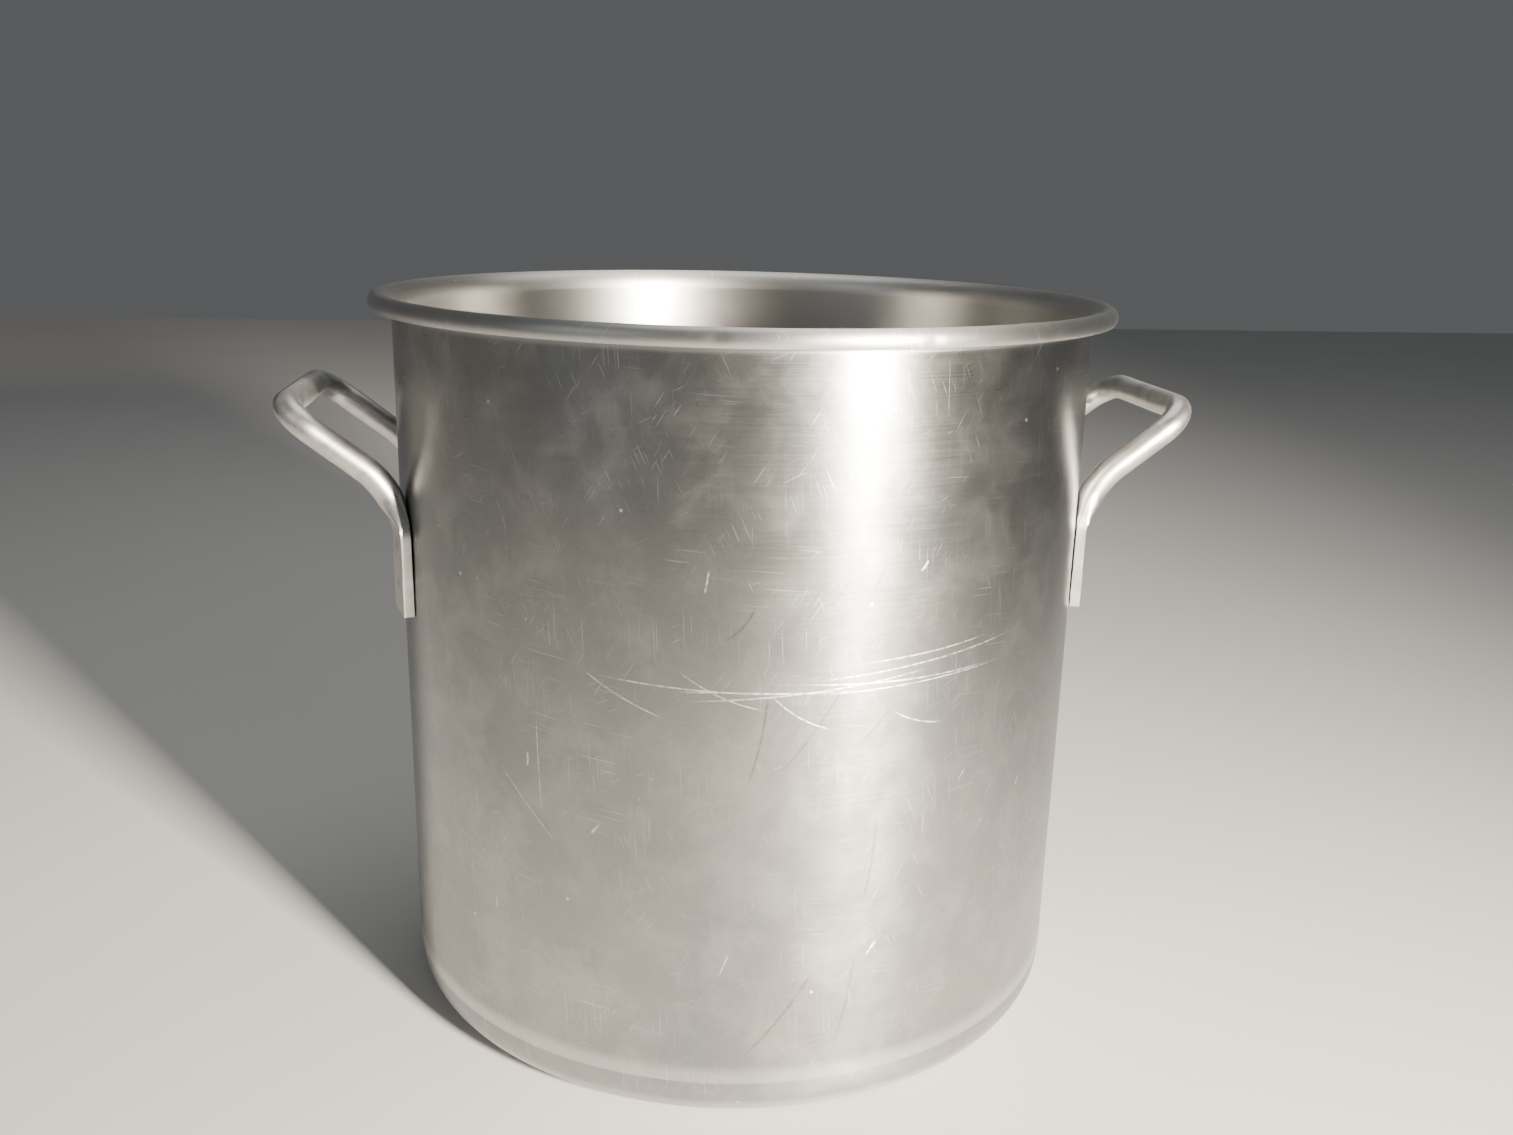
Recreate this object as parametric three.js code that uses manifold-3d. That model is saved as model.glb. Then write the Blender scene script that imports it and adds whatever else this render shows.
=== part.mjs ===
// A straight-sided aluminium stock pot: one deep-drawn shell with a rolled rim,
// two bent-rod handles with flattened feet, and eight flush rivets that hold the feet.
// Units are millimetres, +Z is up, and the origin is the centre of the base on the floor.
// The handles stand on +X and -X.

import * as THREE from 'three';
import { mergeVertices } from 'three/addons/utils/BufferGeometryUtils.js';
import Module from 'manifold-3d';

const wasm = await Module();
wasm.setup();

// ---------- driving dimensions ----------

const WALL_RADIUS = 171;          // outside of the straight wall
const SHEET = 3.2;                // wall and rim thickness
const FLOOR_THICKNESS = 4;
const TOTAL_HEIGHT = 356.4;

const CORNER_WIDTH = 25.5;        // outside bottom corner, along the radius
const CORNER_HEIGHT = 23.4;       // and up the wall
const CORNER_POWER = 2.6;         // 2 is an ellipse, more is squarer
const BASE_HOLLOW = 0.8;          // the middle of the base stands clear of the floor
const BASE_RING_WIDTH = 20;       // flat ring that the pot rests on
const BASE_HOLLOW_SLOPE = 12;

const BEAD_RADIUS = 4.5;          // outside of the rolled tube
const BEAD_CENTRE = 177.5;        // its distance from the pot's axis
const FLARE_RADIUS = 9.2;         // inside of the bend from the wall into the bead
const CURL_END = THREE.MathUtils.degToRad(222);

const ROD_RADIUS = 6.4;
const HANDLE_REACH = 216.8;       // pot axis to the grip's centre line
const GRIP_HEIGHT = 305.2;
const GRIP_BEND = 17;             // centre-line radius at the grip's ends
const FOOT_ANGLE = 0.3;           // each foot stands this far round the wall from the handle's middle
const FOOT_BOTTOM = 208.6;
const FOOT_THICKNESS = 4.8;
const FOOT_WIDTH = 23;
const ELBOW_HEIGHT = 265.8;       // where the arm's line and the foot's line cross
const ELBOW_BEND = 42;
const FLAT_TOP = 247;             // the foot is fully flat below this height
const ROUND_BOTTOM = 266;         // and the rod fully round above this one
const GAP = 0.3;                  // between pieces that touch on the real pot
const OVERCUT = 1;                // how far a drill runs past the faces it opens

const RIVET_HEIGHTS = [220, 238];
const SHANK_RADIUS = 2.8;
const SUNK_HEAD_RADIUS = 4.6;     // countersunk head, flush with the foot's outer face
const SUNK_HEAD_DEPTH = 2;
const DOME_RADIUS = 5.6;          // low dome inside the pot
const DOME_HEIGHT = 2;

const SHELL_SEGMENTS = 64;
const ROD_SIDES = 16;
const RIVET_SEGMENTS = 16;
const CORNER_STEPS = 6;
const INSIDE_CORNER_STEPS = 5;
const FLARE_STEPS = 4;
const INSIDE_FLARE_STEPS = 5;
const ROLL_STEPS = 4;
const BEAD_STEPS = 10;
const DOME_STEPS = 4;
const BEND_STEPS_MIN = 6;
const BEND_STEPS_PER_RADIAN = 9;
const FOOT_RING_SPACING = 13;     // rings are closer together where the rod changes shape
const ARM_RING_SPACING = 40;
const SAME_POINT = 1e-4;          // points closer than this are one point

// ---------- materials ----------

const satinAluminium = () => new THREE.MeshStandardMaterial({
  color: 0xa9a8a5,
  roughness: 0.42,
  metalness: 1,
});

const rodAluminium = () => new THREE.MeshStandardMaterial({
  color: 0xb9b7b2,
  roughness: 0.36,
  metalness: 1,
});

const rivetAluminium = () => new THREE.MeshStandardMaterial({
  color: 0xb0aeaa,
  roughness: 0.4,
  metalness: 1,
});

// ---------- solids ----------

function toSolid(geometry) {
  const bare = geometry.clone();
  bare.deleteAttribute('normal');
  bare.deleteAttribute('uv');
  const merged = mergeVertices(bare, SAME_POINT);
  return new wasm.Manifold(new wasm.Mesh({
    numProp: 3,
    vertProperties: new Float32Array(merged.attributes.position.array),
    triVerts: new Uint32Array(merged.index.array),
  }));
}

function toGeometry(solid) {
  const mesh = solid.getMesh();
  const geometry = new THREE.BufferGeometry();
  geometry.setAttribute('position', new THREE.BufferAttribute(mesh.vertProperties, 3));
  geometry.setIndex(new THREE.BufferAttribute(mesh.triVerts, 1));
  geometry.computeVertexNormals();
  return geometry;
}

// LatheGeometry turns about Y, so a turned piece is tipped up to stand along Z.
function turned(points, segments) {
  return new THREE.LatheGeometry(points, segments).rotateX(Math.PI / 2);
}

function arc(centreX, centreY, radiusX, radiusY, from, to, steps) {
  return Array.from({ length: steps + 1 }, (_, i) => {
    const angle = from + ((to - from) * i) / steps;
    return new THREE.Vector2(centreX + radiusX * Math.cos(angle), centreY + radiusY * Math.sin(angle));
  });
}

// A squared-off quarter of an ellipse, from the floor up to the wall.
function cornerCurve(wallRadius, floorHeight, width, height, steps) {
  return Array.from({ length: steps + 1 }, (_, i) => {
    const angle = (Math.PI / 2) * (1 - i / steps);
    const across = Math.max(Math.cos(angle), 0) ** (2 / CORNER_POWER);
    const down = Math.max(Math.sin(angle), 0) ** (2 / CORNER_POWER);
    return new THREE.Vector2(wallRadius - width + width * across, floorHeight + height - height * down);
  });
}

// ---------- shell ----------

// The section runs from the axis along the outside to the rim, round the rolled bead,
// down the inside and back to the axis. The roll stays open underneath.
function shellSection() {
  const inside = WALL_RADIUS - SHEET;
  const beadHeight = TOTAL_HEIGHT - BEAD_RADIUS;
  const flareX = inside + FLARE_RADIUS;
  const flareY = TOTAL_HEIGHT - FLARE_RADIUS;
  const roll = BEAD_RADIUS - SHEET;
  const ringOutside = WALL_RADIUS - CORNER_WIDTH;
  const ringInside = ringOutside - BASE_RING_WIDTH;
  const outerFlare = FLARE_RADIUS - SHEET;
  const top = Math.PI / 2;
  const wall = Math.PI;
  const curlEnd = Math.PI - CURL_END;
  const outsideFlare = arc(flareX, flareY, outerFlare, outerFlare, wall, top, FLARE_STEPS);
  const rollInside = arc(BEAD_CENTRE, beadHeight, roll, roll, top, curlEnd, ROLL_STEPS);
  const rollOutside = arc(BEAD_CENTRE, beadHeight, BEAD_RADIUS, BEAD_RADIUS, curlEnd, top, BEAD_STEPS);
  const insideFlare = arc(flareX, flareY, FLARE_RADIUS, FLARE_RADIUS, top, wall, INSIDE_FLARE_STEPS);
  const insideWidth = CORNER_WIDTH - SHEET;
  const insideHeight = CORNER_HEIGHT - FLOOR_THICKNESS;
  return [
    new THREE.Vector2(0, BASE_HOLLOW),
    new THREE.Vector2(ringInside - BASE_HOLLOW_SLOPE, BASE_HOLLOW),
    new THREE.Vector2(ringInside, 0),
    ...cornerCurve(WALL_RADIUS, 0, CORNER_WIDTH, CORNER_HEIGHT, CORNER_STEPS),
    ...outsideFlare,
    ...rollInside.slice(1),
    ...rollOutside,
    ...insideFlare.slice(1),
    ...cornerCurve(inside, FLOOR_THICKNESS, insideWidth, insideHeight, INSIDE_CORNER_STEPS).reverse(),
    new THREE.Vector2(0, FLOOR_THICKNESS),
  ];
}

function shellGeometry() {
  let shell = toSolid(turned(shellSection(), SHELL_SEGMENTS));
  for (const place of rivetPlaces()) {
    shell = shell.subtract(toSolid(atRivet(rivetHole(), place)));
  }
  return toGeometry(shell);
}

// ---------- handles ----------

// The +X handle's centre line: up one foot, out along the arm, across the grip and back.
function handlePath() {
  const footX = footRadius() * Math.cos(FOOT_ANGLE);
  const footY = footRadius() * Math.sin(FOOT_ANGLE);
  const corners = [
    new THREE.Vector3(footX, -footY, FOOT_BOTTOM),
    new THREE.Vector3(footX, -footY, ELBOW_HEIGHT),
    new THREE.Vector3(HANDLE_REACH, -footY, GRIP_HEIGHT),
    new THREE.Vector3(HANDLE_REACH, footY, GRIP_HEIGHT),
    new THREE.Vector3(footX, footY, ELBOW_HEIGHT),
    new THREE.Vector3(footX, footY, FOOT_BOTTOM),
  ];
  return filletedPath(corners, [ELBOW_BEND, GRIP_BEND, GRIP_BEND, ELBOW_BEND]);
}

function footRadius() {
  return WALL_RADIUS + GAP + FOOT_THICKNESS / 2;
}

// Straight runs joined by round bends of the given radii.
function filletedPath(corners, radii) {
  const points = [corners[0]];
  for (let i = 1; i < corners.length - 1; i += 1) {
    points.push(...bend(corners[i - 1], corners[i], corners[i + 1], radii[i - 1]));
  }
  points.push(corners[corners.length - 1]);
  return points;
}

function bend(before, corner, after, radius) {
  const back = before.clone().sub(corner).normalize();
  const ahead = after.clone().sub(corner).normalize();
  const half = back.angleTo(ahead) / 2;
  const inward = back.clone().add(ahead).normalize();
  const centre = inward.multiplyScalar(radius / Math.sin(half)).add(corner);
  const start = back.clone().multiplyScalar(radius / Math.tan(half)).add(corner).sub(centre);
  const axis = new THREE.Vector3().crossVectors(back, ahead).normalize();
  const turn = -(Math.PI - 2 * half);
  const steps = Math.max(BEND_STEPS_MIN, Math.round(Math.abs(turn) * BEND_STEPS_PER_RADIAN));
  return Array.from({ length: steps + 1 }, (_, i) => (
    start.clone().applyAxisAngle(axis, (turn * i) / steps).add(centre)
  ));
}

// Points along the path, close together in the bends and in the stretch that changes shape.
function stations(path) {
  const dense = [];
  for (let i = 0; i < path.length - 1; i += 1) {
    const length = path[i].distanceTo(path[i + 1]);
    const inFoot = Math.min(path[i].z, path[i + 1].z) < ROUND_BOTTOM;
    const spacing = inFoot ? FOOT_RING_SPACING : ARM_RING_SPACING;
    const steps = Math.max(1, Math.ceil(length / spacing));
    for (let k = 0; k < steps; k += 1) {
      dense.push(path[i].clone().lerp(path[i + 1], k / steps));
    }
  }
  dense.push(path[path.length - 1]);
  return dense;
}

function smoothstep(from, to, value) {
  return THREE.MathUtils.smoothstep(value, from, to);
}

// The rod starts as a plain upright cylinder. Each of its rings moves to its station on the
// path, and near the feet it is spread sideways and pressed flat, as between two dies.
function handleGeometry(side) {
  const line = stations(handlePath());
  const rings = line.length - 1;
  const rod = new THREE.CylinderGeometry(1, 1, 1, ROD_SIDES, rings);
  rod.deleteAttribute('normal');
  rod.deleteAttribute('uv');
  const geometry = mergeVertices(rod, SAME_POINT);
  const position = geometry.attributes.position;
  const frames = line.map((_, i) => frameAt(line, i));
  const vertex = new THREE.Vector3();
  for (let i = 0; i < position.count; i += 1) {
    vertex.fromBufferAttribute(position, i);
    const ring = Math.round((vertex.y + 0.5) * rings);
    placeOnRing(vertex, line[ring], frames[ring]);
    position.setXYZ(i, vertex.x, vertex.y, vertex.z);
  }
  let solid = toSolid(geometry);
  for (const place of rivetPlaces().filter((rivet) => rivet.side === 1)) {
    solid = solid.subtract(toSolid(atRivet(footHole(), place)));
  }
  const drilled = toGeometry(solid);
  return side === 1 ? drilled : drilled.rotateZ(Math.PI);
}

function frameAt(line, i) {
  const before = line[Math.max(i - 1, 0)];
  const after = line[Math.min(i + 1, line.length - 1)];
  const along = after.clone().sub(before).normalize();
  const angle = FOOT_ANGLE * Math.sign(line[i].y);
  const nearFoot = new THREE.Vector3(-Math.sin(angle), Math.cos(angle), 0);
  const upward = new THREE.Vector3(0, 0, 1);
  const grip = new THREE.Vector3().crossVectors(upward, along);
  // Across the grip the section turns with the bend, so the frame never flips.
  const blend = smoothstep(ROUND_BOTTOM, GRIP_HEIGHT - GRIP_BEND, line[i].z);
  const guide = line[i].y > 0 ? nearFoot.multiplyScalar(-1) : nearFoot;
  const across = guide.lerp(grip.normalize(), blend);
  across.addScaledVector(along, -across.dot(along)).normalize();
  const outward = new THREE.Vector3().crossVectors(across, along).normalize();
  return { across, outward };
}

function placeOnRing(vertex, centre, frame) {
  const flat = 1 - smoothstep(FLAT_TOP, ROUND_BOTTOM, centre.z);
  const halfWidth = THREE.MathUtils.lerp(ROD_RADIUS, FOOT_WIDTH / 2, flat);
  const halfThickness = THREE.MathUtils.lerp(ROD_RADIUS, FOOT_THICKNESS / 2, flat);
  const toWall = Math.hypot(centre.x, centre.y) - WALL_RADIUS - GAP;
  const wallSide = Math.min(halfThickness, toWall);
  const sideways = vertex.x * halfWidth;
  const thick = THREE.MathUtils.clamp(vertex.z * ROD_RADIUS, -wallSide, halfThickness);
  vertex.copy(centre).addScaledVector(frame.across, sideways).addScaledVector(frame.outward, thick);
}

// ---------- rivets ----------

function rivetPlaces() {
  const places = [];
  for (const side of [1, -1]) {
    for (const end of [-1, 1]) {
      for (const height of RIVET_HEIGHTS) {
        places.push({ side, end, height, azimuth: (side === 1 ? 0 : Math.PI) + end * FOOT_ANGLE });
      }
    }
  }
  return places;
}

// A rivet lies along its own Z, with zero at the pot's axis, and is then laid out along the radius.
function atRivet(geometry, place) {
  return geometry
    .rotateY(Math.PI / 2)
    .rotateZ(place.azimuth)
    .translate(0, 0, place.height);
}

function faceRadius() {
  return footRadius() + FOOT_THICKNESS / 2;
}

function rivetGeometry(place) {
  const inside = WALL_RADIUS - SHEET - GAP;
  const dome = arc(0, inside, DOME_RADIUS, DOME_HEIGHT, -Math.PI / 2, 0, DOME_STEPS);
  return atRivet(turned([
    ...dome,
    new THREE.Vector2(SHANK_RADIUS, inside),
    new THREE.Vector2(SHANK_RADIUS, faceRadius() - SUNK_HEAD_DEPTH),
    new THREE.Vector2(SUNK_HEAD_RADIUS, faceRadius()),
    new THREE.Vector2(0, faceRadius()),
  ], RIVET_SEGMENTS), place);
}

function rivetHole() {
  const radius = SHANK_RADIUS + GAP;
  const start = WALL_RADIUS - SHEET - 2 * OVERCUT;
  const end = faceRadius() + OVERCUT;
  return turned([
    new THREE.Vector2(0, start),
    new THREE.Vector2(radius, start),
    new THREE.Vector2(radius, end),
    new THREE.Vector2(0, end),
  ], RIVET_SEGMENTS);
}

// The foot's hole is countersunk on its outer face.
function footHole() {
  const radius = SHANK_RADIUS + GAP;
  const sunk = SUNK_HEAD_RADIUS + GAP;
  const start = WALL_RADIUS - OVERCUT;
  const end = faceRadius() + OVERCUT;
  return turned([
    new THREE.Vector2(0, start),
    new THREE.Vector2(radius, start),
    new THREE.Vector2(radius, faceRadius() - SUNK_HEAD_DEPTH - GAP),
    new THREE.Vector2(sunk, faceRadius()),
    new THREE.Vector2(sunk + OVERCUT, end),
    new THREE.Vector2(0, end),
  ], RIVET_SEGMENTS);
}

// ---------- assembly ----------

function piece(name, geometry, material) {
  const mesh = new THREE.Mesh(geometry, material);
  mesh.name = name;
  return mesh;
}

const pot = new THREE.Group();
pot.add(piece('pot_shell', shellGeometry(), satinAluminium()));
pot.add(piece('handle_right', handleGeometry(1), rodAluminium()));
pot.add(piece('handle_left', handleGeometry(-1), rodAluminium()));
for (const place of rivetPlaces()) {
  const side = place.side === 1 ? 'right' : 'left';
  const end = place.side * place.end < 0 ? 'front' : 'back';
  const level = place.height === RIVET_HEIGHTS[0] ? 'lower' : 'upper';
  pot.add(piece(`rivet_${side}_${end}_${level}`, rivetGeometry(place), rivetAluminium()));
}

export default pot;
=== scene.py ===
"""The looks of a straight-sided aluminium stock pot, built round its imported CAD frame.

Everything is in metres, in the CAD frame: +Z up, the handles on +X and -X, and the front on -Y.
"""

import math
from random import Random

import bpy
import numpy as np
from mathutils import Matrix, Vector, noise


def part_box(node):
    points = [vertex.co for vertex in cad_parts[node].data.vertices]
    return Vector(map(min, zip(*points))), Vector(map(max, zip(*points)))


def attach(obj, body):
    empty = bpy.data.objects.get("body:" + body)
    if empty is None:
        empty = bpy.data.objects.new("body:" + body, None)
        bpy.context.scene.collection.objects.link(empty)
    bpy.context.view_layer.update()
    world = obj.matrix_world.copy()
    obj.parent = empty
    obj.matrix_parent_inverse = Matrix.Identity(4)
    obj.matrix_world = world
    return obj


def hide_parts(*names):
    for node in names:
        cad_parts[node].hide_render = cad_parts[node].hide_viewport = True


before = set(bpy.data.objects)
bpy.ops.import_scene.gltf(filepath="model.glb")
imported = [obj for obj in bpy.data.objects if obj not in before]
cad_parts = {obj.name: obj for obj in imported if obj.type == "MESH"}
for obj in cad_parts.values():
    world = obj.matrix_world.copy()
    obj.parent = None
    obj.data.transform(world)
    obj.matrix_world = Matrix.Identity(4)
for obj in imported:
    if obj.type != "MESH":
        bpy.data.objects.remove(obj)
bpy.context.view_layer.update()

MM = 0.001
TAU = 2 * math.pi

# ---------- sizes, from the frame and the pot's own dimensions ----------

_, shell_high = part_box("pot_shell")
grip_low, grip_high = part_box("handle_right")

HEIGHT = shell_high.z
BEAD_OUTSIDE = shell_high.y
BEAD = 4.5 * MM                       # radius of the rolled tube
BEAD_CENTRE = BEAD_OUTSIDE - BEAD
WALL = 171 * MM                       # outside radius of the wall
SHEET = 3.2 * MM
FLOOR = 4 * MM
FLARE = 9.2 * MM                      # inside of the bend from the wall into the bead
CURL_END = math.radians(222)
CORNER_WIDTH = 25.5 * MM
CORNER_HEIGHT = 23.4 * MM
CORNER_POWER = 2.6
BASE_HOLLOW = 0.8 * MM
BASE_RING = 20 * MM
HOLLOW_SLOPE = 12 * MM
AXIS_DISC = 4 * MM                    # the mesh's innermost ring, on the base and on the floor

ROD = 6.4 * MM
REACH = grip_high.x - ROD
GRIP_HEIGHT = grip_high.z - ROD
GRIP_BEND = 17 * MM
FOOT_ANGLE = 0.3
FOOT_BOTTOM = grip_low.z
FOOT_THICK = 4.8 * MM
FOOT_WIDTH = 23 * MM
ELBOW_HEIGHT = 265.8 * MM
ELBOW_BEND = 42 * MM
FLAT_TOP = 247 * MM
ROUND_BOTTOM = 266 * MM
SHEARED_TOP = FOOT_BOTTOM + 17 * MM   # the foot's end is cut square and crisp up to here
GAP = 0.3 * MM                        # between the wall and a foot
FOOT_RADIUS = WALL + GAP + FOOT_THICK / 2

RIVET_HEAD = 4.6 * MM
RIVET_CROWN = 0.3 * MM
RIVET_DOME = 5.6 * MM
RIVET_DOME_HEIGHT = 2 * MM
RIVET_SHANK = 2.8 * MM
RIVET_SEAT = 0.05 * MM                # how far the dome stands off the wall's inside
CROWN_SINK = 0.1 * MM                 # how far the crown's edge is below the foot's face
HEAD_DEPTH = 2 * MM
DOME_EDGE = -0.12                     # radians, where the dome's and the crown's arcs stop short of flat
CROWN_EDGE = 0.25
DOME_STEPS = 12
CROWN_STEPS = 10

# ---------- camera ----------
# The camera stands a little to the left of straight in front, so the right handle is farther away.

CAMERA_DISTANCE = 3.986 * WALL
CAMERA_HEIGHT = 2.375 * WALL
CAMERA_AZIMUTH = 0.12                 # radians, towards the left handle
CAMERA_PITCH = 0.2753
CAMERA_YAW = 0.0141
CAMERA_ROLL = 0.0245
CAMERA_LENS = 31.85
CAMERA_SENSOR = 36


def make_camera():
    data = bpy.data.cameras.new("camera")
    data.lens = CAMERA_LENS
    data.sensor_width = CAMERA_SENSOR
    data.sensor_fit = "HORIZONTAL"
    data.clip_start = 0.01
    camera = bpy.data.objects.new("camera", data)
    bpy.context.scene.collection.objects.link(camera)
    heading = CAMERA_YAW + CAMERA_AZIMUTH
    forward = Vector((
        math.sin(heading) * math.cos(CAMERA_PITCH),
        math.cos(heading) * math.cos(CAMERA_PITCH),
        -math.sin(CAMERA_PITCH),
    ))
    right = Vector((math.cos(heading), -math.sin(heading), 0))
    up = right.cross(forward)
    turn = Matrix.Rotation(-CAMERA_ROLL, 3, forward)
    right, up = turn @ right, turn @ up
    place = Vector((
        -CAMERA_DISTANCE * math.sin(CAMERA_AZIMUTH),
        -CAMERA_DISTANCE * math.cos(CAMERA_AZIMUTH),
        CAMERA_HEIGHT,
    ))
    axes = Matrix((right, up, -forward)).transposed().to_4x4()
    camera.matrix_world = Matrix.Translation(place) @ axes
    bpy.context.scene.camera = camera


# ---------- mesh helpers ----------

ON_AXIS = 1e-9                        # a section's point nearer than this to the axis is on it


def arc(centre_x, centre_y, radius_x, radius_y, start, end, steps):
    angles = np.linspace(start, end, steps + 1)
    return [(centre_x + radius_x * math.cos(a), centre_y + radius_y * math.sin(a)) for a in angles]


def line(start, end, steps):
    """Points from start to just before end."""
    t = np.arange(steps) / steps
    return [(start[0] + (end[0] - start[0]) * k, start[1] + (end[1] - start[1]) * k) for k in t]


def corner(wall, floor, width, height, steps):
    """A squared-off quarter of an ellipse, from the floor up to the wall."""
    points = []
    for i in range(steps + 1):
        a = math.pi / 2 * (1 - i / steps)
        across = max(math.cos(a), 0) ** (2 / CORNER_POWER)
        down = max(math.sin(a), 0) ** (2 / CORNER_POWER)
        points.append((wall - width + width * across, floor + height - height * down))
    return points


def new_object(name, vertices, faces, material, smooth_angle=35):
    mesh = bpy.data.meshes.new(name)
    mesh.from_pydata([tuple(v) for v in vertices], [], [tuple(f) for f in faces])
    mesh.validate()
    mesh.materials.append(material)
    mesh.shade_smooth()
    mesh.set_sharp_from_angle(angle=math.radians(smooth_angle))
    piece = bpy.data.objects.new(name, mesh)
    bpy.context.scene.collection.objects.link(piece)
    return piece


def revolve(section, segments):
    """A closed surface round Z. The section starts and ends on the axis. Returns vertices, faces
    and each vertex's distance along the section."""
    along = np.concatenate([[0], np.cumsum([math.dist(a, b) for a, b in zip(section, section[1:])])])
    vertices, faces, runs = [], [], []
    rings = []
    for (radius, height), run in zip(section, along):
        first = len(vertices)
        if radius < ON_AXIS:
            vertices.append((0, 0, height))
            runs.append(run)
            rings.append([first] * segments)
            continue
        for k in range(segments):
            a = TAU * k / segments
            vertices.append((radius * math.cos(a), radius * math.sin(a), height))
            runs.append(run)
        rings.append(list(range(first, first + segments)))
    for low, high in zip(rings, rings[1:]):
        for k in range(segments):
            n = (k + 1) % segments
            corners = [low[k], low[n], high[n], high[k]]
            faces.append(list(dict.fromkeys(corners)))
    return vertices, faces, runs


def store(piece, name, values):
    attribute = piece.data.attributes.new(name, "FLOAT", "POINT")
    attribute.data.foreach_set("value", np.asarray(values, np.float32))


# ---------- shell ----------

SHELL_SEGMENTS = 480
HOLLOW_STEPS = 10
SLOPE_STEPS = 4
BASE_RING_STEPS = 3
CORNER_STEPS = 22
WALL_STEPS = 90
CURL_STEPS = 10
BEAD_STEPS = 26
FLARE_STEPS = 14
INSIDE_WALL_STEPS = 60
INSIDE_CORNER_STEPS = 16
FLOOR_STEPS = 12

# How far the wall wavers, in millimetres, over a hand's width and over a finger's.
WIDE_WAVER = 0.30
CLOSE_WAVER = 0.07
WAVER_FADE = 30 * MM                  # it dies away over this height at both ends of the wall
STILL_RIM = 12 * MM                   # and is gone this far below the top
BOTH_FACES = 1.6 * SHEET              # from the outside of the wall to past its inside

# Dents in the rim, each as degrees round from the front, and the height below the top, width and depth
# in millimetres.
RIM_DENTS = [
    (-10, 3.5, 3, 0.35), (17, 4.5, 2.5, 0.3), (38, 5.5, 3.5, 0.3), (-47, 5, 3, 0.25),
    (118, 4, 4, 0.4), (-140, 3, 3.5, 0.35), (-82, 4.5, 4, 0.3), (168, 5, 3, 0.3),
]
DENTED_HEIGHT = 2.2 * BEAD
DENT_END = 9                          # squared distance, in widths, past which a dent is nothing


def shell_section():
    inside = WALL - SHEET
    bead_height = HEIGHT - BEAD
    flare_x = inside + FLARE
    flare_y = HEIGHT - FLARE
    roll = BEAD - SHEET
    ring_outside = WALL - CORNER_WIDTH
    ring_inside = ring_outside - BASE_RING
    hollow_edge = ring_inside - HOLLOW_SLOPE
    curl = math.pi - CURL_END
    section = [(0, BASE_HOLLOW)]
    section += line((AXIS_DISC, BASE_HOLLOW), (hollow_edge, BASE_HOLLOW), HOLLOW_STEPS)
    section += line((hollow_edge, BASE_HOLLOW), (ring_inside, 0), SLOPE_STEPS)
    section += line((ring_inside, 0), (ring_outside, 0), BASE_RING_STEPS)
    section += corner(WALL, 0, CORNER_WIDTH, CORNER_HEIGHT, CORNER_STEPS)[:-1]
    section += line((WALL, CORNER_HEIGHT), (WALL, flare_y), WALL_STEPS)
    section += arc(flare_x, flare_y, FLARE - SHEET, FLARE - SHEET, math.pi, math.pi / 2, CURL_STEPS)
    section += arc(BEAD_CENTRE, bead_height, roll, roll, math.pi / 2, curl, CURL_STEPS)[1:]
    section += arc(BEAD_CENTRE, bead_height, BEAD, BEAD, curl, math.pi / 2, BEAD_STEPS)
    section += arc(flare_x, flare_y, FLARE, FLARE, math.pi / 2, math.pi, FLARE_STEPS)[1:-1]
    section += line((inside, flare_y), (inside, CORNER_HEIGHT), INSIDE_WALL_STEPS)
    inner = corner(inside, FLOOR, CORNER_WIDTH - SHEET, CORNER_HEIGHT - FLOOR, INSIDE_CORNER_STEPS)
    section += inner[::-1]
    section += line((inner[0][0], FLOOR), (AXIS_DISC, FLOOR), FLOOR_STEPS)[1:]
    section += [(0, FLOOR)]
    return section


def wall_shape(p):
    """How far the sheet moves in or out, so that its reflections waver as worn metal's do."""
    wide = noise.noise(p * 9 + Vector((3, 1, 7)))
    close = noise.noise(p * 34 + Vector((9, 4, 2)))
    return (WIDE_WAVER * wide + CLOSE_WAVER * close) * MM


def make_shell(material):
    vertices, faces, runs = revolve(shell_section(), SHELL_SEGMENTS)
    shaped = []
    for x, y, z in vertices:
        p = Vector((x, y, z))
        radius = math.hypot(x, y)
        if radius > WALL - BOTH_FACES:
            low = min(max((z - CORNER_HEIGHT) / WAVER_FADE, 0), 1)
            high = min(max((HEIGHT - STILL_RIM - z) / WAVER_FADE, 0), 1)
            outward = Vector((x, y, 0)) / radius
            # both faces of the sheet take the same place on the wall, and so move together
            on_wall = Vector((x / radius * WALL, y / radius * WALL, z))
            p += outward * wall_shape(on_wall) * low * high
        if z > HEIGHT - DENTED_HEIGHT and radius > BEAD_CENTRE:
            p = dent(p, radius)
        shaped.append(p)
    shell = new_object("pot_body", shaped, faces, material, 40)
    store(shell, "run", runs)
    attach(shell, "root")
    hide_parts("pot_shell")


def dent(p, radius):
    """The point after the dents in the rim have pushed it in."""
    turn = math.degrees(math.atan2(p.x, -p.y))
    for at, below, width, depth in RIM_DENTS:
        across = math.radians(turn - at) * radius
        down = HEIGHT - below * MM - p.z
        reach = (across * across + down * down) / (width * MM) ** 2
        if reach < DENT_END:
            inward = Vector((-p.x, -p.y, 0)).normalized()
            p = p + inward * depth * MM * math.exp(-reach)
    return p


# ---------- handles ----------

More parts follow.
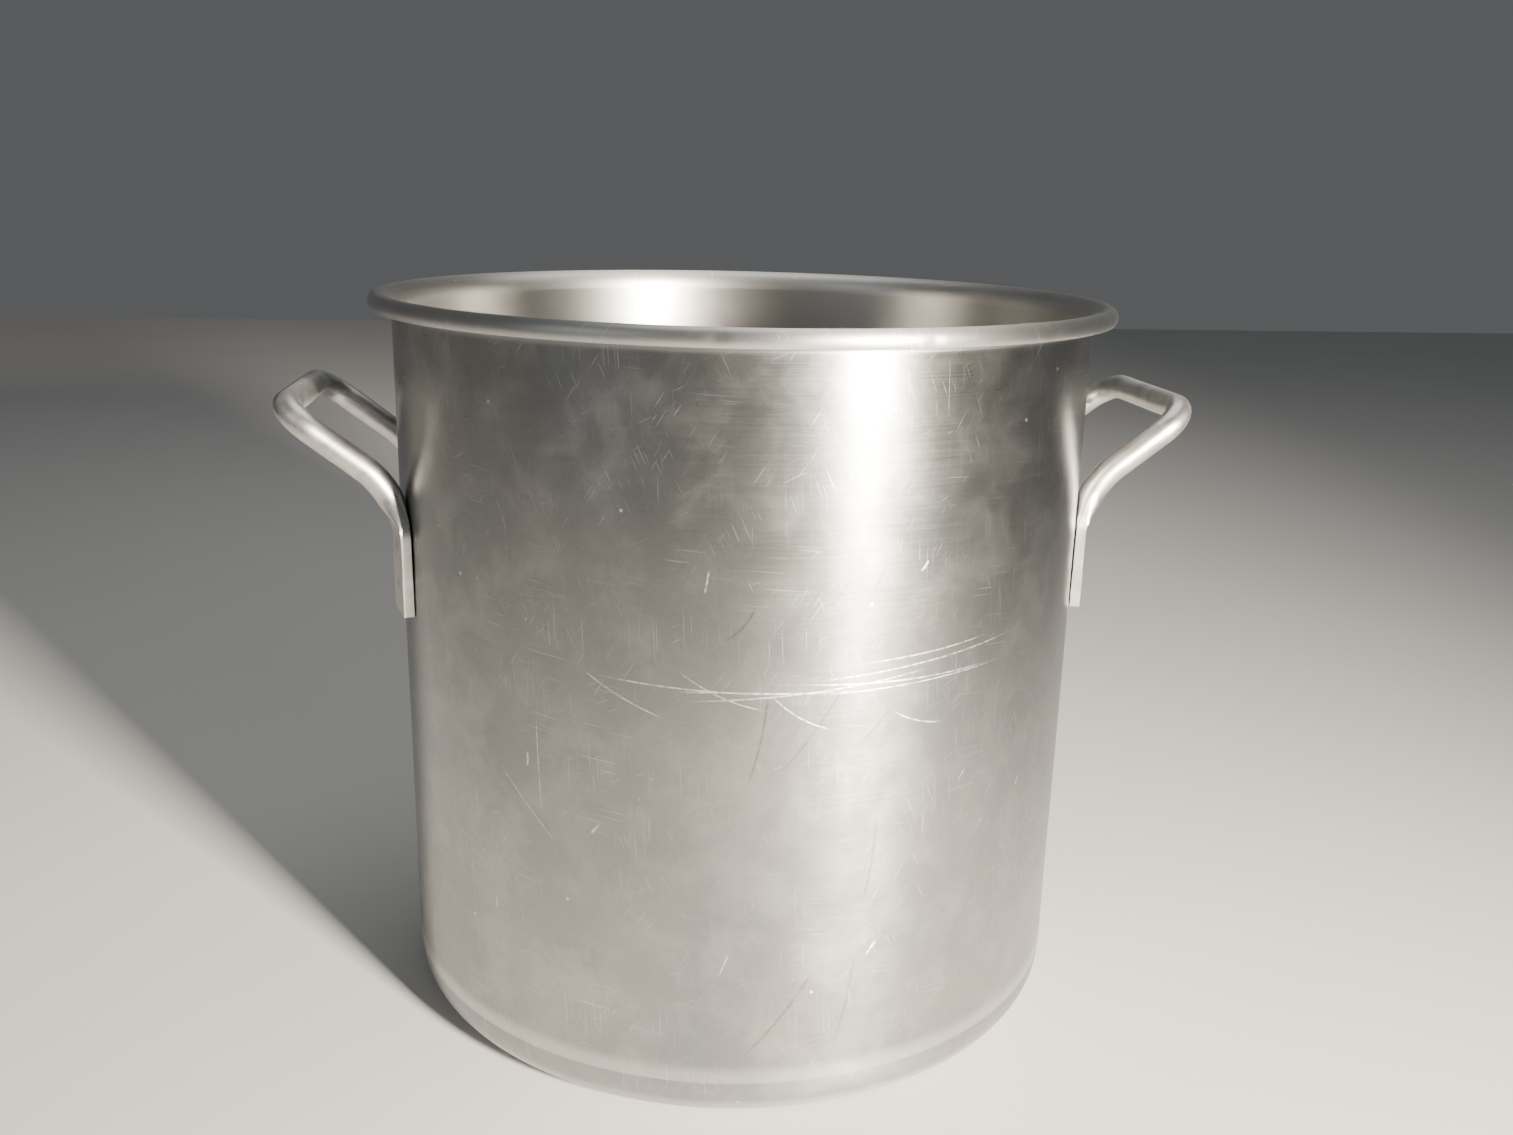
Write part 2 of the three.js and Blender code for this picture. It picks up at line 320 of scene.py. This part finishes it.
ROD_SIDES = 48
STATION_STEP = 1.6 * MM
BEND_STEPS_MIN = 8
SHEAR_BLEND = 1.2 * MM
PRESSED_SQUARENESS = 0.08             # how far the flat foot's section goes from round to square
SHEARED_SQUARENESS = 0.25             # and how much farther its cut end goes
SHEARED_NARROWING = 0.02
ROD_WEAR = 0.05                       # millimetres, all of it inwards
ROD_WEAR_SCALE = 70
ROD_WEAR_SHIFT = 5                    # so that the two handles are worn differently


def bend(before, at, after, radius):
    """The round bend that joins two straight runs."""
    back = (before - at).normalized()
    ahead = (after - at).normalized()
    half = back.angle(ahead) / 2
    centre = at + (back + ahead).normalized() * (radius / math.sin(half))
    start = at + back * (radius / math.tan(half)) - centre
    axis = back.cross(ahead).normalized()
    turn = -(math.pi - 2 * half)
    steps = max(BEND_STEPS_MIN, round(abs(turn) * radius / STATION_STEP))
    return [centre + Matrix.Rotation(turn * i / steps, 3, axis) @ start for i in range(steps + 1)]


def handle_path():
    foot_x = FOOT_RADIUS * math.cos(FOOT_ANGLE)
    foot_y = FOOT_RADIUS * math.sin(FOOT_ANGLE)
    corners = [
        Vector((foot_x, -foot_y, FOOT_BOTTOM)),
        Vector((foot_x, -foot_y, ELBOW_HEIGHT)),
        Vector((REACH, -foot_y, GRIP_HEIGHT)),
        Vector((REACH, foot_y, GRIP_HEIGHT)),
        Vector((foot_x, foot_y, ELBOW_HEIGHT)),
        Vector((foot_x, foot_y, FOOT_BOTTOM)),
    ]
    radii = [ELBOW_BEND, GRIP_BEND, GRIP_BEND, ELBOW_BEND]
    points = [corners[0]]
    for i, radius in enumerate(radii, 1):
        points += bend(corners[i - 1], corners[i], corners[i + 1], radius)
    points.append(corners[-1])
    even = []
    for a, b in zip(points, points[1:]):
        steps = max(1, math.ceil((b - a).length / STATION_STEP))
        even += [a.lerp(b, k / steps) for k in range(steps)]
    return even + [points[-1]]


def smoothstep(low, high, value):
    t = min(max((value - low) / (high - low), 0), 1)
    return t * t * (3 - 2 * t)


def rod_frame(path, i):
    """The rod's sideways and outward directions: level along the grip, and along the wall at the feet."""
    along = (path[min(i + 1, len(path) - 1)] - path[max(i - 1, 0)]).normalized()
    front = path[i].y <= 0
    angle = -FOOT_ANGLE if front else FOOT_ANGLE
    foot = Vector((-math.sin(angle), math.cos(angle), 0)) * (1 if front else -1)
    grip = Vector((0, 0, 1)).cross(along).normalized()
    across = foot.lerp(grip, smoothstep(ROUND_BOTTOM, GRIP_HEIGHT - GRIP_BEND, path[i].z))
    across = (across - along * across.dot(along)).normalized()
    return across, across.cross(along).normalized()


def ring_point(centre, across, outward, angle):
    """One point of the rod's section: round, then pressed between flat dies, then sheared square."""
    flat = 1 - smoothstep(FLAT_TOP, ROUND_BOTTOM, centre.z)
    sheared = 1 - smoothstep(SHEARED_TOP - SHEAR_BLEND, SHEARED_TOP + SHEAR_BLEND, centre.z)
    half_width = ROD + (FOOT_WIDTH / 2 - ROD) * flat
    half_thick = ROD + (FOOT_THICK / 2 - ROD) * flat
    to_wall = math.hypot(centre.x, centre.y) - WALL - GAP
    wall_side = min(half_thick, to_wall)
    square = 1 + PRESSED_SQUARENESS * flat + SHEARED_SQUARENESS * sheared
    half_width *= 1 - SHEARED_NARROWING * sheared
    sideways = min(max(math.cos(angle) * square, -1), 1) * half_width
    thick = min(max(math.sin(angle) * ROD * square, -wall_side), half_thick)
    return centre + across * sideways + outward * thick


def make_handle(side, material):
    path = handle_path()
    name = "right" if side > 0 else "left"
    vertices, runs = [], []
    run = 0
    shift = Vector((side * ROD_WEAR_SHIFT, 0, 0))
    for i, centre in enumerate(path):
        run += (centre - path[i - 1]).length if i else 0
        across, outward = rod_frame(path, i)
        for k in range(ROD_SIDES):
            angle = TAU * (k + 0.5) / ROD_SIDES
            p = ring_point(centre, across, outward, angle)
            away = (p - centre).normalized()
            p += away * (noise.noise(p * ROD_WEAR_SCALE + shift) - 1) * ROD_WEAR * MM
            vertices.append(Vector((p.x * side, p.y * side, p.z)))
            runs.append(run)
    rings = len(path)
    faces = [list(range(ROD_SIDES))[::-1], [(rings - 1) * ROD_SIDES + k for k in range(ROD_SIDES)]]
    for i in range(rings - 1):
        for k in range(ROD_SIDES):
            n = (k + 1) % ROD_SIDES
            a, b = i * ROD_SIDES, (i + 1) * ROD_SIDES
            faces.append([a + k, a + n, b + n, b + k])
    handle = new_object(f"{name}_handle_rod", vertices, faces, material, 34)
    store(handle, "run", runs)
    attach(handle, "root")
    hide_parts(f"handle_{name}")


# ---------- rivets ----------

RIVET_SEGMENTS = 48


def rivet_section():
    """From inside the pot to outside the foot, along the rivet's own axis."""
    inside = WALL - SHEET - RIVET_SEAT
    face = WALL + GAP + FOOT_THICK
    crown_height = RIVET_CROWN + CROWN_SINK
    dome = arc(0, inside, RIVET_DOME, RIVET_DOME_HEIGHT, -math.pi / 2, DOME_EDGE, DOME_STEPS)
    crown = arc(0, face - CROWN_SINK, RIVET_HEAD, crown_height, CROWN_EDGE, math.pi / 2, CROWN_STEPS)
    shank = [(RIVET_DOME, inside), (RIVET_SHANK, inside), (RIVET_SHANK, face - HEAD_DEPTH)]
    return dome + shank + crown


def make_rivets(material):
    for node in sorted(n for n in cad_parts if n.startswith("rivet_")):
        low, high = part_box(node)
        centre = (low + high) / 2
        turn = math.atan2(centre.y, centre.x)
        vertices, faces, _ = revolve(rivet_section(), RIVET_SEGMENTS)
        aim = Matrix.Rotation(turn, 4, "Z") @ Matrix.Rotation(math.pi / 2, 4, "Y")
        lay = Matrix.Translation((0, 0, centre.z)) @ aim
        shaped = [lay @ Vector(v) for v in vertices]
        rivet = new_object(node.replace("rivet_", "flush_rivet_"), shaped, faces, material, 40)
        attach(rivet, "root")
        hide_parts(node)


# ---------- materials ----------

# Bare aluminium, from the dull colours to the bright ones. The lighter greys of the bead, of the band
# above the crease and of the inside are painted sheen and light, not the metal's own colour.
DRAG_GREY = (0.16, 0.155, 0.15, 1)
SPECK_GREY = (0.24, 0.235, 0.225, 1)
COOL_GREY = (0.30, 0.312, 0.31, 1)
WARM_GREY = (0.385, 0.373, 0.355, 1)
STREAK_GREY = (0.38, 0.375, 0.365, 1)
CORNER_GREY = (0.40, 0.40, 0.395, 1)
PIT_GREY = (0.40, 0.39, 0.37, 1)
BLOOM = (0.60, 0.585, 0.56, 1)
INSIDE = (0.60, 0.59, 0.57, 1)
PAINTED_BEAD_SHEEN = (0.60, 0.595, 0.58, 1)
PAINTED_CREASE_SHEEN = (0.74, 0.725, 0.70, 1)
ROD_SCRATCH = (0.93, 0.92, 0.90, 1)
FRESH_SCRATCH = (0.95, 0.93, 0.90, 1)
ROD_COLOURS = ((0.58, 0.57, 0.55, 1), (0.71, 0.70, 0.68, 1))
RIVET_COLOURS = ((0.56, 0.555, 0.54, 1), (0.68, 0.67, 0.65, 1))
ROD_ROUGHNESS = 0.38
SHELL_ANISOTROPY = 0.72
ROD_ANISOTROPY = 0.2

NEXT_TO_NOTHING = 1e-9                # weighs a value that is waited for but not used


class Graph:
    """A short way to write a material's nodes."""

    def __init__(self, name):
        self.material = bpy.data.materials.new(name)
        self.material.use_nodes = True
        self.nodes = self.material.node_tree.nodes
        self.links = self.material.node_tree.links
        self.nodes.clear()
        self.output = self.nodes.new("ShaderNodeOutputMaterial")
        self.shader = self.nodes.new("ShaderNodeBsdfPrincipled")
        self.links.new(self.shader.outputs[0], self.output.inputs["Surface"])
        self.place = self.nodes.new("ShaderNodeTexCoord").outputs["Object"]

    def put(self, socket, value):
        if isinstance(value, bpy.types.NodeSocket):
            self.links.new(value, socket)
        else:
            socket.default_value = value

    def math(self, operation, a, b=0.0, c=0.0, clamp=False):
        node = self.nodes.new("ShaderNodeMath")
        node.operation = operation
        node.use_clamp = clamp
        for socket, value in zip(node.inputs, (a, b, c)):
            self.put(socket, value)
        return node.outputs[0]

    def vector(self, operation, a, b=None, scale=None):
        node = self.nodes.new("ShaderNodeVectorMath")
        node.operation = operation
        self.put(node.inputs[0], a)
        if b is not None:
            self.put(node.inputs[1], b)
        if scale is not None:
            self.put(node.inputs["Scale"], scale)
        return node.outputs[0]

    def split(self, vector):
        node = self.nodes.new("ShaderNodeSeparateXYZ")
        self.put(node.inputs[0], vector)
        return node.outputs

    def join(self, x, y, z):
        node = self.nodes.new("ShaderNodeCombineXYZ")
        for socket, value in zip(node.inputs, (x, y, z)):
            self.put(socket, value)
        return node.outputs[0]

    def noise(self, vector, scale=1.0, detail=3.0, roughness=0.55, distortion=0.0):
        node = self.nodes.new("ShaderNodeTexNoise")
        self.put(node.inputs["Vector"], vector)
        node.inputs["Scale"].default_value = scale
        node.inputs["Detail"].default_value = detail
        node.inputs["Roughness"].default_value = roughness
        node.inputs["Distortion"].default_value = distortion
        return node.outputs["Fac"]

    def spots(self, vector, scale):
        node = self.nodes.new("ShaderNodeTexVoronoi")
        self.put(node.inputs["Vector"], vector)
        node.inputs["Scale"].default_value = scale
        return node.outputs["Distance"]

    def step(self, value, low, high, to_low=0.0, to_high=1.0):
        node = self.nodes.new("ShaderNodeMapRange")
        node.interpolation_type = "SMOOTHSTEP"
        self.put(node.inputs["Value"], value)
        names = ("From Min", "From Max", "To Min", "To Max")
        for key, number in zip(names, (low, high, to_low, to_high)):
            self.put(node.inputs[key], number)
        return node.outputs[0]

    def mix(self, factor, a, b):
        node = self.nodes.new("ShaderNodeMix")
        node.data_type = "RGBA"
        self.put(node.inputs[0], factor)
        self.put(node.inputs[6], a)
        self.put(node.inputs[7], b)
        return node.outputs[2]

    def tint(self, under, mask, amount, over):
        """Mixes a colour in where the mask is, at most by that amount."""
        return self.mix(self.math("MULTIPLY", mask, amount), under, over)

    def vary(self, value, noise, amount):
        """Moves a value up and down with a noise."""
        return self.math("ADD", value, self.math("MULTIPLY", self.math("SUBTRACT", noise, 0.5), amount))

    def bump(self, height, strength, distance, normal=None):
        node = self.nodes.new("ShaderNodeBump")
        node.inputs["Strength"].default_value = strength
        node.inputs["Distance"].default_value = distance
        self.put(node.inputs["Height"], height)
        if normal is not None:
            self.put(node.inputs["Normal"], normal)
        return node.outputs[0]

    def attribute(self, name):
        node = self.nodes.new("ShaderNodeAttribute")
        node.attribute_name = name
        return node.outputs["Fac"]

    def after(self, vector, value):
        """The same vector, worked out only once value is known, so that long chains need little
        memory."""
        node = self.nodes.new("ShaderNodeVectorMath")
        node.operation = "MULTIPLY_ADD"
        self.put(node.inputs[0], value)
        node.inputs[1].default_value = (NEXT_TO_NOTHING, NEXT_TO_NOTHING, NEXT_TO_NOTHING)
        self.put(node.inputs[2], vector)
        return node.outputs[0]

    def stretched(self, vector, angle, along, across, seed):
        """Coordinates for marks that run at an angle: slow along them and quick across."""
        node = self.nodes.new("ShaderNodeMapping")
        self.put(node.inputs["Vector"], vector)
        node.inputs["Location"].default_value = (seed * 3.1, seed * 1.7, seed)
        node.inputs["Rotation"].default_value = (0, 0, angle)
        x, y, z = self.split(node.outputs[0])
        return self.join(self.math("MULTIPLY", x, along), self.math("MULTIPLY", y, across), z)

    def stroke(self, sheet, centre, angle, half_length, bow, width):
        """A single scratch: a shallow parabola of that length, fading at its ends."""
        node = self.nodes.new("ShaderNodeMapping")
        node.vector_type = "TEXTURE"
        self.put(node.inputs["Vector"], sheet)
        node.inputs["Location"].default_value = (centre[0], centre[1], 0)
        node.inputs["Rotation"].default_value = (0, 0, angle)
        x, y, _ = self.split(node.outputs[0])
        curve = self.math("MULTIPLY", self.math("MULTIPLY", x, x), bow / (half_length * half_length))
        off = self.math("ABSOLUTE", self.math("SUBTRACT", y, curve))
        body = self.step(off, width * 0.35, width, 1, 0)
        ends = self.step(self.math("ABSOLUTE", x), half_length * 0.6, half_length, 1, 0)
        return self.math("MULTIPLY", body, ends)


def wall_sheet(g):
    """The wall rolled out flat, in metres: along it from the front, and up."""
    x, y, z = g.split(g.place)
    turn = g.math("ARCTAN2", x, g.math("MULTIPLY", y, -1.0))
    return g.join(g.math("MULTIPLY", turn, WALL), z, 0.0), z


def ring_coordinates(g, around, along):
    """Seamless coordinates round the pot: slow round it and quick along its section, or the other way."""
    x, y, _ = g.split(g.place)
    run = g.attribute("run")
    return g.join(
        g.math("MULTIPLY", x, around), g.math("MULTIPLY", y, around), g.math("MULTIPLY", run, along)
    )


MARK_SEED = 4


def scattered(random, count, *ranges):
    """Marks drawn at random. The ranges are of the turn from the front in degrees, the height as a share
    of the pot's, the slope in degrees, and the half length, bow and width in millimetres."""
    return [[random.uniform(low, high) for low, high in ranges] for _ in range(count)]


def front_scratches(random):
    """Long marks that cross at three fifths of the height, lines that slant off them, and short ticks."""
    level = scattered(random, 7, (-15, 25), (0.58, 0.63), (-4, 6), (25, 60), (-1, 2), (0.35, 0.5))
    slanting = scattered(random, 4, (-25, 20), (0.52, 0.60), (-40, 10), (10, 30), (0, 3), (0.4, 0.5))
    faint = scattered(random, 2, (-40, -20), (0.35, 0.60), (-90, -30), (20, 24), (0, 0.5), (0.25, 0.3))
    ticks = scattered(random, 9, (-50, 45), (0.15, 0.75), (50, 100), (2, 6), (0, 0.4), (0.5, 0.8))
    return level + slanting + faint + ticks


def front_smears(random):
    """Darker drag marks, most of them steep."""
    return scattered(random, 9, (-12, 14), (0.10, 0.75), (45, 88), (9, 30), (0, 2), (0.6, 0.9))


def strokes(g, sheet, marks):
    total = None
    for turn, rise, slope, half_length, bow, width in marks:
        centre = (math.radians(turn) * WALL, rise * HEIGHT)
        here = sheet if total is None else g.after(sheet, total)
        mark = g.stroke(here, centre, math.radians(slope), half_length * MM, bow * MM, width * MM)
        total = mark if total is None else g.math("MAXIMUM", total, mark)
    return total


def random_scratches(g, coordinates, angle, seed, length, width, density):
    """Short straight scratches in one direction, all over."""
    lines = g.noise(g.stretched(coordinates, angle, 1 / length, 1 / width, seed), 1.0, 1.0, 0.4)
    patches = g.noise(g.vector("SCALE", coordinates, scale=1 / length * 0.5), 1.0, 2.0)
    sharp = g.step(lines, density, density + 0.05)
    return g.math("MULTIPLY", sharp, g.step(patches, 0.45, 0.62))


def finish_shader(g, colour, roughness, normal, anisotropic, turned=False):
    shader = g.shader
    shader.inputs["Metallic"].default_value = 1.0
    shader.inputs["Anisotropic"].default_value = anisotropic
    if turned:
        shader.inputs["Anisotropic Rotation"].default_value = 0.25
        tangent = g.nodes.new("ShaderNodeTangent")
        tangent.direction_type = "RADIAL"
        tangent.axis = "Z"
        g.links.new(tangent.outputs[0], shader.inputs["Tangent"])
    g.put(shader.inputs["Base Color"], colour)
    g.put(shader.inputs["Roughness"], roughness)
    g.put(shader.inputs["Normal"], normal)
    return g.material


# The fine scratches: slope in radians, length and width in millimetres, and how few there are.
FINE_SCRATCHES = [
    (0.08, 34, 0.5, 0.70),
    (1.15, 19, 0.45, 0.70),
    (-1.0, 16, 0.45, 0.70),
    (1.52, 30, 0.45, 0.68),
    (-0.45, 14, 0.45, 0.71),
]


def fine_scratches(g, sheet, earlier):
    total = earlier
    for seed, (angle, length, width, density) in enumerate(FINE_SCRATCHES, 1):
        here = g.after(sheet, total)
        layer = random_scratches(g, here, angle, seed, length * MM, width * MM, density)
        total = layer if seed == 1 else g.math("MAXIMUM", total, layer)
    return total


def small_nicks(g):
    spot = g.step(g.spots(g.place, 70), 0.03, 0.075, 1, 0)
    return g.math("MULTIPLY", spot, g.step(g.noise(g.place, 21, 1), 0.54, 0.58))


def shell_marks(g, sheet, outside):
    """Bright scratches on the outside, and dark drag marks."""
    random = Random(MARK_SEED)
    front = strokes(g, sheet, front_scratches(random))
    broken = g.step(g.noise(g.after(g.place, front), 420, 2), 0.38, 0.58, 0.4, 1)
    front = g.math("MULTIPLY", front, broken)
    smears = strokes(g, g.after(sheet, front), front_smears(random))
    smears = g.math("MULTIPLY", smears, g.noise(g.after(g.place, smears), 260, 3))
    fine = fine_scratches(g, sheet, smears)
    bright = g.math("MAXIMUM", front, g.math("MULTIPLY", fine, 0.55))
    bright = g.math("MAXIMUM", bright, g.math("MULTIPLY", small_nicks(g), 0.8))
    return g.math("MULTIPLY", bright, outside), smears


def shell_material():
    g = Graph("satin_shell")
    sheet, height = wall_sheet(g)
    x, y, _ = g.split(g.place)
    radius = g.math("SQRT", g.math("ADD", g.math("MULTIPLY", x, x), g.math("MULTIPLY", y, y)))
    outside = g.step(radius, WALL - 0.7 * SHEET, WALL - 0.3 * SHEET)
    on_bead = g.step(height, HEIGHT - 2.6 * BEAD, HEIGHT - 2.1 * BEAD)
    below_crease = g.step(height, CORNER_HEIGHT - 1.2 * MM, CORNER_HEIGHT - 0.2 * MM, 1, 0)
    above_crease = g.step(height, CORNER_HEIGHT - 1 * MM, CORNER_HEIGHT)
    # painted sheen: a band a few millimetres tall just above the crease, made lighter for the light the
    # wall catches there
    crease_sheen_band = g.math("MULTIPLY", above_crease, g.step(height, 26 * MM, 33 * MM, 1, 0))

    mottle = g.noise(g.place, scale=38, detail=5, roughness=0.62, distortion=0.4)
    clouds = g.noise(g.place, scale=8.5, detail=4, roughness=0.55, distortion=0.6)
    grain = g.noise(ring_coordinates(g, around=14, along=1900), roughness=0.6)
    rings = g.noise(ring_coordinates(g, around=3, along=330), roughness=0.6)
    drawn = g.noise(ring_coordinates(g, around=620, along=9), roughness=0.6)
    specks = g.noise(g.place, scale=620, detail=2, roughness=0.6)
    bright, smears = shell_marks(g, sheet, outside)

    grey = g.mix(g.step(clouds, 0.30, 0.70), COOL_GREY, WARM_GREY)
    grey = g.tint(grey, g.step(mottle, 0.42, 0.72), 0.34, BLOOM)
    grey = g.tint(grey, g.step(drawn, 0.52, 0.80), 0.12, STREAK_GREY)
    grey = g.tint(grey, g.step(specks, 0.60, 0.74), 0.35, SPECK_GREY)
    grey = g.tint(grey, below_crease, 0.35, CORNER_GREY)
    # painted sheen above the crease
    grey = g.tint(grey, crease_sheen_band, 0.5, PAINTED_CREASE_SHEEN)
    # painted light: the inside is mixed towards a lighter grey than the outside, for the light inside the
    # pot
    grey = g.mix(g.math("SUBTRACT", 0.55, g.math("MULTIPLY", outside, 0.55)), grey, INSIDE)
    # painted sheen: the bead and the top of the flare are made lighter all round, for the light they
    # catch
    grey = g.tint(grey, on_bead, 0.6, PAINTED_BEAD_SHEEN)
    grey = g.tint(grey, smears, 0.9, DRAG_GREY)
    colour = g.mix(bright, grey, FRESH_SCRATCH)

    rough = g.step(clouds, 0.25, 0.75, 0.33, 0.295)
    rough = g.vary(rough, mottle, 0.15)
    rough = g.vary(rough, grain, 0.10)
    rough = g.math("ADD", rough, g.math("MULTIPLY", below_crease, 0.05))
    rough = g.math("MAXIMUM", rough, g.math("SUBTRACT", 0.37, g.math("MULTIPLY", outside, 0.37)))
    rough = g.math("MAXIMUM", rough, g.math("MULTIPLY", on_bead, 0.42))
    rough = g.math("ADD", rough, g.math("MULTIPLY", bright, 0.16), clamp=True)

    relief = g.math("ADD", g.math("MULTIPLY", grain, 0.5), g.math("MULTIPLY", rings, 0.5))
    relief = g.math("ADD", relief, g.math("MULTIPLY", mottle, 1.2))
    normal = g.bump(relief, strength=0.18, distance=0.14 * MM)
    return finish_shader(g, colour, rough, normal, SHELL_ANISOTROPY, turned=True)


def rod_material(name, colours):
    g = Graph(name)
    run = g.attribute("run")
    x, _, z = g.split(g.place)
    grain = g.noise(g.place, scale=700, detail=2)
    lengthwise = g.join(g.math("MULTIPLY", run, 30), g.math("MULTIPLY", z, 60), x)
    along = g.noise(lengthwise, detail=4, roughness=0.6)
    mottle = g.noise(g.place, scale=120, detail=4, roughness=0.6, distortion=0.5)
    pit = g.step(g.spots(g.place, 330), 0.05, 0.14, 1, 0)
    pitted = g.math("MULTIPLY", pit, g.step(g.noise(g.place, 60, 2), 0.52, 0.60))
    scratch = g.step(g.noise(g.stretched(g.place, 0.7, 90, 2600, 3), 1, 1, 0.4), 0.72, 0.77)
    other = g.step(g.noise(g.stretched(g.place, -0.5, 80, 2400, 7), 1, 1, 0.4), 0.73, 0.78)
    scratch = g.math("MAXIMUM", scratch, other)
    colour = g.mix(g.step(mottle, 0.3, 0.7), *colours)
    colour = g.tint(colour, pitted, 0.4, PIT_GREY)
    colour = g.tint(colour, scratch, 0.45, ROD_SCRATCH)
    rough = g.vary(g.vary(ROD_ROUGHNESS, mottle, 0.16), along, 0.10)
    relief = g.math("ADD", grain, g.math("MULTIPLY", along, 0.6))
    normal = g.bump(relief, strength=0.12, distance=0.08 * MM)
    marks = g.math("SUBTRACT", 1.0, g.math("MAXIMUM", pitted, scratch))
    normal = g.bump(marks, strength=0.15, distance=0.1 * MM, normal=normal)
    return finish_shader(g, colour, rough, normal, ROD_ANISOTROPY)


# ---------- stage and light ----------

FLOOR_SIZE = 7.0
FLOOR_CELLS = 28
FLOOR_COLOURS = ((0.60, 0.595, 0.58, 1), (0.66, 0.655, 0.64, 1))
SKY_COLOUR = (0.80, 0.83, 0.86, 1)
SKY_STRENGTH = 0.13
WARM_WHITE = (1.0, 0.89, 0.76)
COOL_WHITE = (0.86, 0.93, 1.0)
PLAIN_WHITE = (1.0, 0.98, 0.95)


def make_floor():
    row = FLOOR_CELLS + 1
    steps = [(i / FLOOR_CELLS - 0.5) * FLOOR_SIZE for i in range(row)]
    vertices = [(x, y, 0) for y in steps for x in steps]
    firsts = [j * row + i for j in range(FLOOR_CELLS) for i in range(FLOOR_CELLS)]
    faces = [[k, k + 1, k + row + 1, k + row] for k in firsts]
    g = Graph("pale_floor")
    tone = g.noise(g.place, scale=3, detail=4)
    g.put(g.shader.inputs["Base Color"], g.mix(tone, *FLOOR_COLOURS))
    g.shader.inputs["Roughness"].default_value = 0.9
    texture = g.noise(g.place, scale=500)
    g.put(g.shader.inputs["Normal"], g.bump(texture, strength=0.1, distance=0.2 * MM))
    floor = new_object("floor", vertices, faces, g.material)


def area_light(name, place, target, side, power, colour, spread=180):
    """A square light. Its spread is in degrees."""
    data = bpy.data.lights.new(name, "AREA")
    data.shape = "RECTANGLE"
    data.size = side
    data.size_y = side
    data.energy = power
    data.color = colour
    data.spread = math.radians(spread)
    light = bpy.data.objects.new(name, data)
    bpy.context.scene.collection.objects.link(light)
    light.location = place
    light.rotation_euler = (Vector(target) - Vector(place)).to_track_quat("-Z", "Y").to_euler()


def make_light():
    world = bpy.data.worlds.new("studio")
    world.use_nodes = True
    background = world.node_tree.nodes["Background"]
    background.inputs["Color"].default_value = SKY_COLOUR
    background.inputs["Strength"].default_value = SKY_STRENGTH
    bpy.context.scene.world = world
    middle = (0, 0, HEIGHT * 0.55)
    upper_front = (0, -0.1, HEIGHT * 0.9)
    # the key is small and narrowed, so that it leaves one upright highlight that fades downwards
    area_light("key", (0.74, -1.28, 0.54), upper_front, side=0.18, power=42, colour=WARM_WHITE, spread=84)
    area_light("fill", (-1.5, -1.2, 1.3), middle, side=1.2, power=3, colour=COOL_WHITE)
    area_light("top", (0.3, 0.5, 1.9), middle, side=1.4, power=11, colour=PLAIN_WHITE)


# ---------- the whole ----------

make_camera()
rod_aluminium = rod_material("handle_rod", ROD_COLOURS)
rivet_aluminium = rod_material("rivet", RIVET_COLOURS)
make_shell(shell_material())
make_handle(1, rod_aluminium)
make_handle(-1, rod_aluminium)
make_rivets(rivet_aluminium)
make_floor()
make_light()
